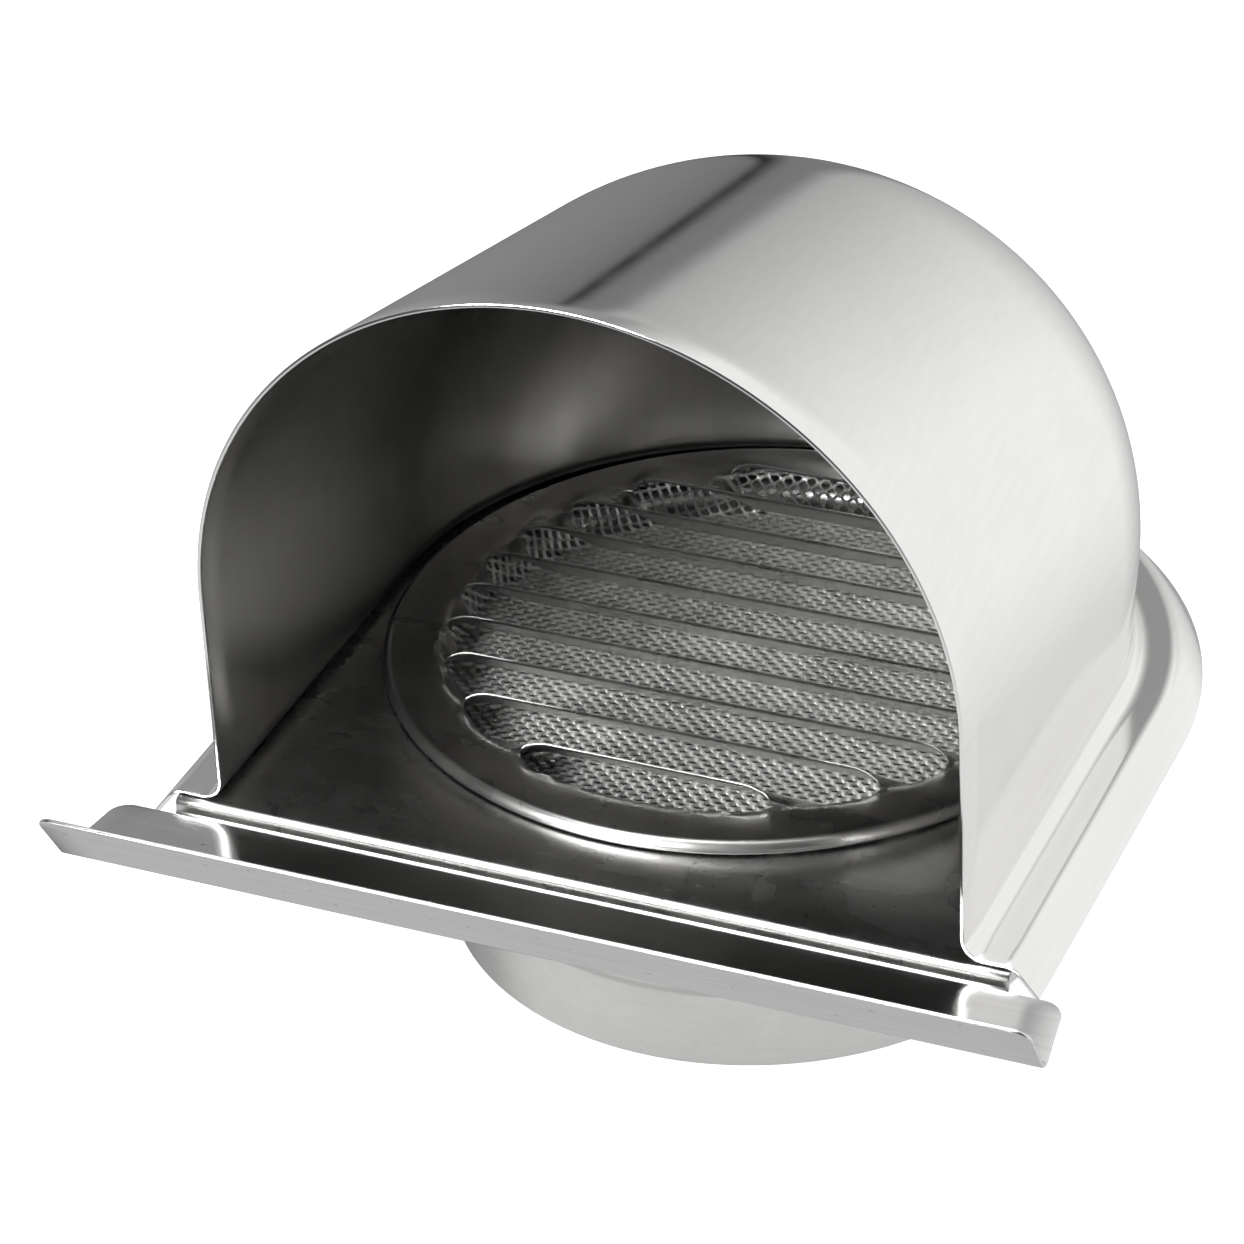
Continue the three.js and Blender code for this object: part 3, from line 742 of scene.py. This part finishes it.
def make_screen():
    path = dish_path()
    reach = path[-1][1] - MESH_LONG / 2
    rings = [
        (diamond_ring(1, 0), MESH_SHEET / 2),
        (diamond_ring(MESH_HOLE, MESH_LEAN), MESH_SHEET / 2),
        (diamond_ring(MESH_HOLE * MESH_HOLE_WAIST, MESH_LEAN), 0),
        (diamond_ring(MESH_HOLE, MESH_LEAN), -MESH_SHEET / 2),
        (diamond_ring(1, 0), -MESH_SHEET / 2),
    ]
    mesh = bmesh.new()
    rows = int(reach / (MESH_SHORT / 2)) + 1
    columns = int(reach / MESH_LONG) + 1
    for j in range(-rows, rows + 1):
        y = j * MESH_SHORT / 2
        offset = MESH_LONG / 2 * (j % 2)
        for i in range(-columns, columns + 1):
            x = i * MESH_LONG + offset
            if math.hypot(x, y) > reach:
                continue
            grid = [[(x + p.x, y + p.y, z + p.z) for p in ring] for ring, z in rings]
            add_grid(mesh, grid, closed=True)
    bmesh.ops.remove_doubles(mesh, verts=mesh.verts, dist=MESH_WELD)
    for vertex in mesh.verts:
        vertex.co = dish_point(*vertex.co, path)
    screen = piece_object(mesh, "mesh_screen", mesh_steel, sharp_angle=50)
    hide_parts("insect_screen")


def rounded_box_profile(inner, outer, low, high, radius, steps=4):
    """A closed (radius, z) section with rounded corners."""
    corners = [(outer - radius, high - radius, 0), (inner + radius, high - radius, 90)]
    corners += [(inner + radius, low + radius, 180), (outer - radius, low + radius, 270)]
    points = []
    for r, z, start in corners:
        points += arc_points((r, z), radius, start, start + 90, steps)
    return points


def make_screen_ring():
    inner = ring_high.x - SCREEN_RING_WIDTH
    profile = rounded_box_profile(inner, ring_high.x, ring_low.z, ring_high.z, SCREEN_RING_CORNER)
    ring = piece_object(turned_mesh(profile, 160), "screen_clamp_ring", mesh_steel)
    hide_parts("screen_ring")


# ---- Duct spigot ----
def spigot_face(radius, top, bend):
    """One face of the spigot's wall, from the flange's edge, round the throat and over the bead."""
    rim_room = RIM_BULGE * SHEET / 2
    points = [(spigot_high.x - rim_room, top)]
    points += arc_points((radius + bend, top - bend), bend, 90, 180, 10)
    for i in range(-12, 13):
        share = i / 12
        swell = SPIGOT_BEAD_HEIGHT * (0.5 + 0.5 * math.cos(math.pi * share))
        points.append((radius + swell, SPIGOT_BEAD_Z - SPIGOT_BEAD_HALF * share))
    points.append((radius, spigot_low.z + rim_room))
    return points


def make_spigot():
    top = -SHEET - GAP
    inside = spigot_face(SPIGOT_OUTER - SHEET, top, SPIGOT_THROAT + SHEET)
    outside = spigot_face(SPIGOT_OUTER, top - SHEET, SPIGOT_THROAT)
    round_off = SHEET / 2
    end_rim = arc_points((SPIGOT_OUTER - round_off, spigot_low.z + round_off), round_off, 180, 360, 6)
    flange_rim = arc_points((spigot_high.x - round_off, top - round_off), round_off, -90, 90, 6)
    profile = inside[1:-1] + end_rim + outside[1:-1][::-1] + flange_rim
    spigot = piece_object(turned_mesh(profile, 240), "spigot_tube", tube_steel)
    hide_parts("duct_spigot")


# ---- Foam gasket ----
def gasket_section():
    """One edge of the foam from its top to its bottom, as (how far in from the edge, z)."""
    low, high = gasket_low.z, gasket_high.z
    inset, drop = 0.2, 0.25  # the middle of each rounded corner
    section = [(GASKET_SOFTNESS, high), (inset, high - drop), (0, high - GASKET_SOFTNESS)]
    return section + [(0, low + GASKET_SOFTNESS), (inset, low + drop), (GASKET_SOFTNESS, low)]


def make_gasket():
    edge, front = gasket_high.x, gasket_low.y
    section = gasket_section()
    grid = []
    for angle in outline_angles(edge, front, 180):
        reach = outline_reach(angle, edge, front)
        wave = abs(GASKET_WAVE * math.sin(9 * angle) * math.sin(4 * angle + 1))
        outer = [round_axis(reach - inset, angle, z) for inset, z in section]
        inner = [round_axis(GASKET_HOLE + inset + wave, angle, z) for inset, z in section[::-1]]
        grid.append(outer + inner)
    grid.append(grid[0])
    mesh = bmesh.new()
    add_grid(mesh, grid, closed=True)
    bmesh.ops.remove_doubles(mesh, verts=mesh.verts, dist=FINE_WELD)
    gasket = piece_object(mesh, "foam_gasket", foam, sharp_angle=60)
    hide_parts("wall_gasket")


# ---- Drip lip ----
def lip_stations():
    """The lip from its back edge, over its crease, to its front edge: (point, half its length there)."""
    back_z = -PLATE_NOSE_DEPTH + GAP + SHEET
    bend = Vector((0, LIP_BEND_Y, back_z - SHEET / 2))
    back = Vector((0, LIP_BACK_Y, bend.z))
    front = Vector((0, LIP_BEND_Y - LIP_LEAN, bend.z + LIP_FRONT_RISE))
    near_back = bend.lerp(back, LIP_CREASE / (bend - back).length)
    near_front = bend.lerp(front, LIP_CREASE / (bend - front).length)
    corner_steps = 10
    stations = []
    for i in range(corner_steps + 1):
        angle = math.pi / 2 * i / corner_steps
        inset = LIP_BACK_CORNER * (1 - math.sin(angle))
        along = LIP_BACK_CORNER * (1 - math.cos(angle))
        point = back.lerp(bend, along / (back - bend).length)
        stations.append((point, LIP_HALF_LENGTH - LIP_TAPER - inset))
    for point in bend_points(near_back, bend, near_front, 10):
        stations.append((point, LIP_HALF_LENGTH))
    for i in range(corner_steps + 1):
        angle = math.pi / 2 * i / corner_steps
        inset = LIP_FRONT_CORNER * (1 - math.cos(angle))
        along = LIP_FRONT_CORNER * (1 - math.sin(angle))
        point = front.lerp(bend, along / (front - bend).length)
        stations.append((point, LIP_HALF_LENGTH - inset))
    return stations


def make_lip():
    columns = 24
    rows = []
    for point, half in lip_stations():
        half -= RIM_BULGE * SHEET / 2
        xs = [half * (1 - 2 * j / columns) for j in range(columns + 1)]
        rows.append([Vector((x, point.y, point.z + SHEET / 2)) for x in xs])
    lip = piece_object(thicken(surface_of([rows]), SHEET), "lip", lip_steel)
    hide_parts("drip_lip")


# ---- Spring clips and rivets, drawn with the radius along +X and the width along Y ----
def clip_turn(k):
    """The turn round the duct's axis to clip k's place."""
    return Matrix.Rotation((k + 0.5) * 2 * math.pi / CLIP_COUNT, 4, "Z")


def clip_profile():
    """The outer face of the strip: foot, bend, leaf and the curl at its tip, as (radius, z)."""
    face = SPIGOT_OUTER + CLIP_STAND_OFF + CLIP_SHEET
    bend_z = CLIP_RIVET_Z + CLIP_BEND_ABOVE
    top_z = CLIP_RIVET_Z + CLIP_LEAF_HEIGHT
    foot = Vector((face, 0, CLIP_RIVET_Z - CLIP_FOOT))
    bend = Vector((face, 0, bend_z))
    crest = Vector((face + CLIP_LEAF_RISE, 0, top_z - CLIP_BEND_ABOVE))
    tip = Vector((face + CLIP_LEAF_RISE - CLIP_SHEET, 0, top_z))
    leaf = (crest - bend).normalized()
    points = [foot]
    points += bend_points(bend - Vector((0, 0, 1)), bend, bend + leaf, 6)
    points += bend_points(crest - leaf, crest, crest + (tip - crest) * 0.5, 6)
    return points + [tip]


def clip_row_halves(points):
    """Half the strip's width at each profile point: full, with rounded corners at foot and tip."""
    halves = []
    for point in points:
        from_foot = point.z - points[0].z
        from_tip = points[-1].z - point.z
        room = min(from_foot, from_tip, CLIP_CORNER) / CLIP_CORNER
        halves.append(CLIP_WIDTH / 2 - CLIP_CORNER_INSET * (1 - math.sqrt(1 - (1 - room) ** 2)))
    return halves


def make_clip(k):
    profile = clip_profile()
    # More rows near the rounded ends.
    near_foot = [profile[0].lerp(profile[1], t) for t in (0.1, 0.25, 0.5, 0.75)]
    near_tip = profile[-2].lerp(profile[-1], 0.6)
    points = [profile[0]] + near_foot + profile[1:-1] + [near_tip, profile[-1]]
    columns = 12
    rows = []
    for point, half in zip(points, clip_row_halves(points)):
        ys = [half * (2 * j / columns - 1) for j in range(columns + 1)]
        rows.append([Vector((point.x, y, point.z)) for y in ys])
    mesh = thicken(surface_of([rows]), CLIP_SHEET)
    mesh.transform(clip_turn(k))
    clip = piece_object(mesh, f"clip_leaf_{k + 1}", clip_steel, body=f"clip_{k + 1}")
    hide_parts(f"spring_clip_{k + 1}")


def rivet_profile():
    """A blind rivet's (radius, distance from the duct's axis) section, from its set tail to its head."""
    bore_wall = math.hypot(SPIGOT_OUTER - SHEET, CLIP_RIVET_SPACING / 2)
    tail_end = 2 * (SPIGOT_OUTER - SHEET) - bore_wall - GAP
    head_foot = SPIGOT_OUTER + CLIP_STAND_OFF + CLIP_SHEET + RIVET_HEAD_GAP
    # The set tail swells like a barrel: shares of the head's radius, at heights above its start.
    tail = [(0, 0), (0.75, 0), (0.95, 0.15), (1, 0.45), (0.95, RIVET_TAIL_LENGTH)]
    tail_start = tail_end - RIVET_TAIL_LENGTH
    profile = [(share * RIVET_HEAD, tail_start + height) for share, height in tail]
    profile += [(RIVET_SHANK, tail_end), (RIVET_SHANK, head_foot)]
    for i in range(9):
        angle = math.radians(10 * i)
        radius = max(RIVET_HEAD * math.cos(angle), RIVET_PIN + RIVET_DENT_TOP)
        profile.append((radius, head_foot + RIVET_HEAD_HEIGHT * math.sin(angle)))
    crown = head_foot + RIVET_HEAD_HEIGHT
    dent_floor = crown - RIVET_DENT_DEPTH
    profile += [(RIVET_PIN + RIVET_DENT_FLOOR, dent_floor), (RIVET_PIN, dent_floor)]
    return profile + [(RIVET_PIN * 0.9, crown - 0.08), (0, crown - RIVET_PIN_DEPTH)]


def make_rivet(k, side):
    mesh = turned_mesh(rivet_profile(), 32, profile_closed=False)
    lay_down = Matrix.Rotation(math.pi / 2, 4, "Y")
    place = Matrix.Translation((0, side * CLIP_RIVET_SPACING / 2, CLIP_RIVET_Z))
    mesh.transform(clip_turn(k) @ place @ lay_down)
    letter = "a" if side < 0 else "b"
    rivet = piece_object(mesh, f"rivet_{k + 1}{letter}", rivet_steel)
    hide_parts(f"clip_rivet_{k + 1}{letter}")


# ---- Studio: floor, soft lights and camera ----
# Brightness of the studio round the part, by the direction it is seen in: a white wall behind and to
# the right, a grey one behind and to the left, a narrow dark gap between them, a dark room in front,
# and white panels overhead and on the ground.
RIGHT_WALL, RIGHT_WALL_NEAR_GAP, RIGHT_WALL_FOOT = 1.0, 0.42, 0.8
LEFT_WALL, LEFT_WALL_NEAR_GAP, LEFT_WALL_TOP = 0.47, 0.16, 0.33
GAP_SHADE = 0.2
FRONT_DARK, FRONT_LOW = 0.05, 0.9
TOP_PANEL, GROUND_PANEL = 1.6, 0.6

# Where one of these gives way to the next, as parts of a direction of length 1.
GAP_LEFT, GAP_RIGHT, GAP_LINE = -0.345, -0.265, 0.02
LEFT_WALL_FAR, RIGHT_WALL_FAR = -0.8, 0.35
RIGHT_WALL_FOOT_LOW, RIGHT_WALL_FOOT_HIGH = -0.6, -0.3

# The same, each with how softly it does so.
GAP_LEFT_EDGE, GAP_RIGHT_EDGE = (GAP_LEFT, 0.012), (GAP_RIGHT, 0.02)
GAP_LINE_EDGE = (GAP_LEFT - GAP_LINE, 0.006)
UPPER_WALLS_EDGE = (-0.05, 0.15)
UPPER_EDGE, FRONT_LOW_EDGE, FRONT_TO_BACK_EDGE = (0.42, 0.05), (-0.35, 0.25), (0.0, 0.15)
TOP_EDGE, GROUND_EDGE = (0.9, 0.04), (-0.78, 0.08)

# Each soft light's place in metres, the height it is aimed at, the side of its square, and its power.
SOFT_LIGHTS = {
    "top_light": ((0.0, 0.0, 1.5), 0.06, 0.7, 3),
    "steep_light": ((-0.35, -0.4, 1.3), 0.06, 0.5, 4),
    "front_left_light": ((-0.4, -0.95, 0.6), 0.05, 0.5, 15),
}

FLOOR_HALF = 5  # metres
CAMERA_SENSOR, CAMERA_LENS = 36, 141.67  # millimetres
CAMERA_PLACE = Vector((0.24351, -0.58997, 0.41186)) + ORIGIN
CAMERA_RIGHT = Vector((0.92134, 0.38676, -0.03926))
CAMERA_UP = Vector((-0.17781, 0.50906, 0.84217))


def studio_object(mesh, name, material, place):
    """Makes a bmesh drawn in metres into an object that isn't one of the part's pieces."""
    data = bpy.data.meshes.new(name)
    mesh.to_mesh(data)
    mesh.free()
    data.materials.append(material)
    thing = bpy.data.objects.new(name, data)
    thing.location = place
    bpy.context.scene.collection.objects.link(thing)
    return thing


def make_floor():
    mesh = bmesh.new()
    bmesh.ops.create_grid(mesh, x_segments=8, y_segments=8, size=FLOOR_HALF)
    floor = studio_object(mesh, "floor", floor_material(), (0, 0, cad_low.z))
    floor.visible_glossy = False


def make_painted_duct_shade():
    """A black disc on the floor inside the spigot's end: painted shade that makes the duct behind the
    screen dark.
    """
    mesh = bmesh.new()
    radius = (SPIGOT_OUTER - SHEET - GAP) * MM
    bmesh.ops.create_circle(mesh, cap_ends=True, segments=96, radius=radius)
    place = (ORIGIN.x, ORIGIN.y, cad_low.z + GAP * MM)
    disc = studio_object(mesh, "painted_duct_shade", painted_duct_shade_material(), place)


def make_soft_light(name, place, aim_height, side, power):
    """A square light that faces a point above the middle of the floor."""
    data = bpy.data.lights.new(name, "AREA")
    data.shape = "RECTANGLE"
    data.size = data.size_y = side
    data.energy = power
    light = bpy.data.objects.new(name, data)
    light.location = place
    target = Vector((0, 0, aim_height))
    light.rotation_euler = (Vector(place) - target).to_track_quat("Z", "Y").to_euler()
    bpy.context.scene.collection.objects.link(light)


def make_world():
    """Lights the scene by direction: x is to the right, y to the back and z up."""
    world = bpy.data.worlds.new("studio")
    bpy.context.scene.world = world
    world.use_nodes = True
    nodes, links = world.node_tree.nodes, world.node_tree.links
    split = nodes.new("ShaderNodeSeparateXYZ")
    links.new(nodes.new("ShaderNodeTexCoord").outputs["Generated"], split.inputs["Vector"])
    x, y, z = split.outputs

    def past(value, edge, softness):
        """0 below an edge and 1 above it."""
        return ranged(nodes, links, value, edge - softness, edge + softness, 0, 1)

    def blended(share, low, high):
        """low where share is 0, high where it is 1."""
        difference = combined(nodes, links, "SUBTRACT", high, low)
        return combined(nodes, links, "MULTIPLY_ADD", share, difference, low)

    left_wall = ranged(nodes, links, x, LEFT_WALL_FAR, GAP_LEFT, LEFT_WALL, LEFT_WALL_NEAR_GAP)
    right_wall = ranged(nodes, links, x, GAP_RIGHT, RIGHT_WALL_FAR, RIGHT_WALL_NEAR_GAP, RIGHT_WALL)
    foot = ranged(nodes, links, z, RIGHT_WALL_FOOT_LOW, RIGHT_WALL_FOOT_HIGH, RIGHT_WALL_FOOT, 1)
    right_wall = combined(nodes, links, "MULTIPLY", right_wall, foot)
    gap = blended(past(x, *GAP_LEFT_EDGE), 0.0, GAP_SHADE)
    behind_left = blended(past(x, *GAP_LINE_EDGE), left_wall, gap)
    behind_low = blended(past(x, *GAP_RIGHT_EDGE), behind_left, right_wall)
    behind_high = blended(past(x, *UPPER_WALLS_EDGE), LEFT_WALL_TOP, RIGHT_WALL)
    behind = blended(past(z, *UPPER_EDGE), behind_low, behind_high)
    front = blended(past(z, *FRONT_LOW_EDGE), FRONT_LOW, FRONT_DARK)
    around = blended(past(y, *FRONT_TO_BACK_EDGE), front, behind)
    with_ground = blended(past(z, *GROUND_EDGE), GROUND_PANEL, around)
    overhead = blended(past(z, *TOP_EDGE), 0.0, TOP_PANEL)
    strength = combined(nodes, links, "MAXIMUM", with_ground, overhead)
    links.new(strength, nodes["Background"].inputs["Strength"])
    nodes["Background"].inputs["Color"].default_value = (1, 1, 1, 1)


def make_camera():
    """The camera looks down over the mouth from the right, through a long lens."""
    data = bpy.data.cameras.new("camera")
    data.sensor_width = CAMERA_SENSOR
    data.lens = CAMERA_LENS
    camera = bpy.data.objects.new("camera", data)
    back = CAMERA_RIGHT.cross(CAMERA_UP).normalized()
    axes = Matrix((CAMERA_RIGHT, CAMERA_UP, back)).transposed().to_4x4()
    camera.matrix_world = Matrix.Translation(CAMERA_PLACE) @ axes
    bpy.context.scene.collection.objects.link(camera)
    bpy.context.scene.camera = camera


make_camera()
make_hood()
make_plate()
make_louvre_cover()
make_screen()
make_screen_ring()
make_spigot()
make_gasket()
make_lip()
for clip_number in range(CLIP_COUNT):
    make_clip(clip_number)
    make_rivet(clip_number, -1)
    make_rivet(clip_number, 1)
make_floor()
# painted shade: a black disc in the duct behind the screen
make_painted_duct_shade()
make_world()
for light_name, light_setting in SOFT_LIGHTS.items():
    make_soft_light(light_name, *light_setting)
bpy.context.scene.view_settings.view_transform = "Standard"

bpy.context.view_layer.update()
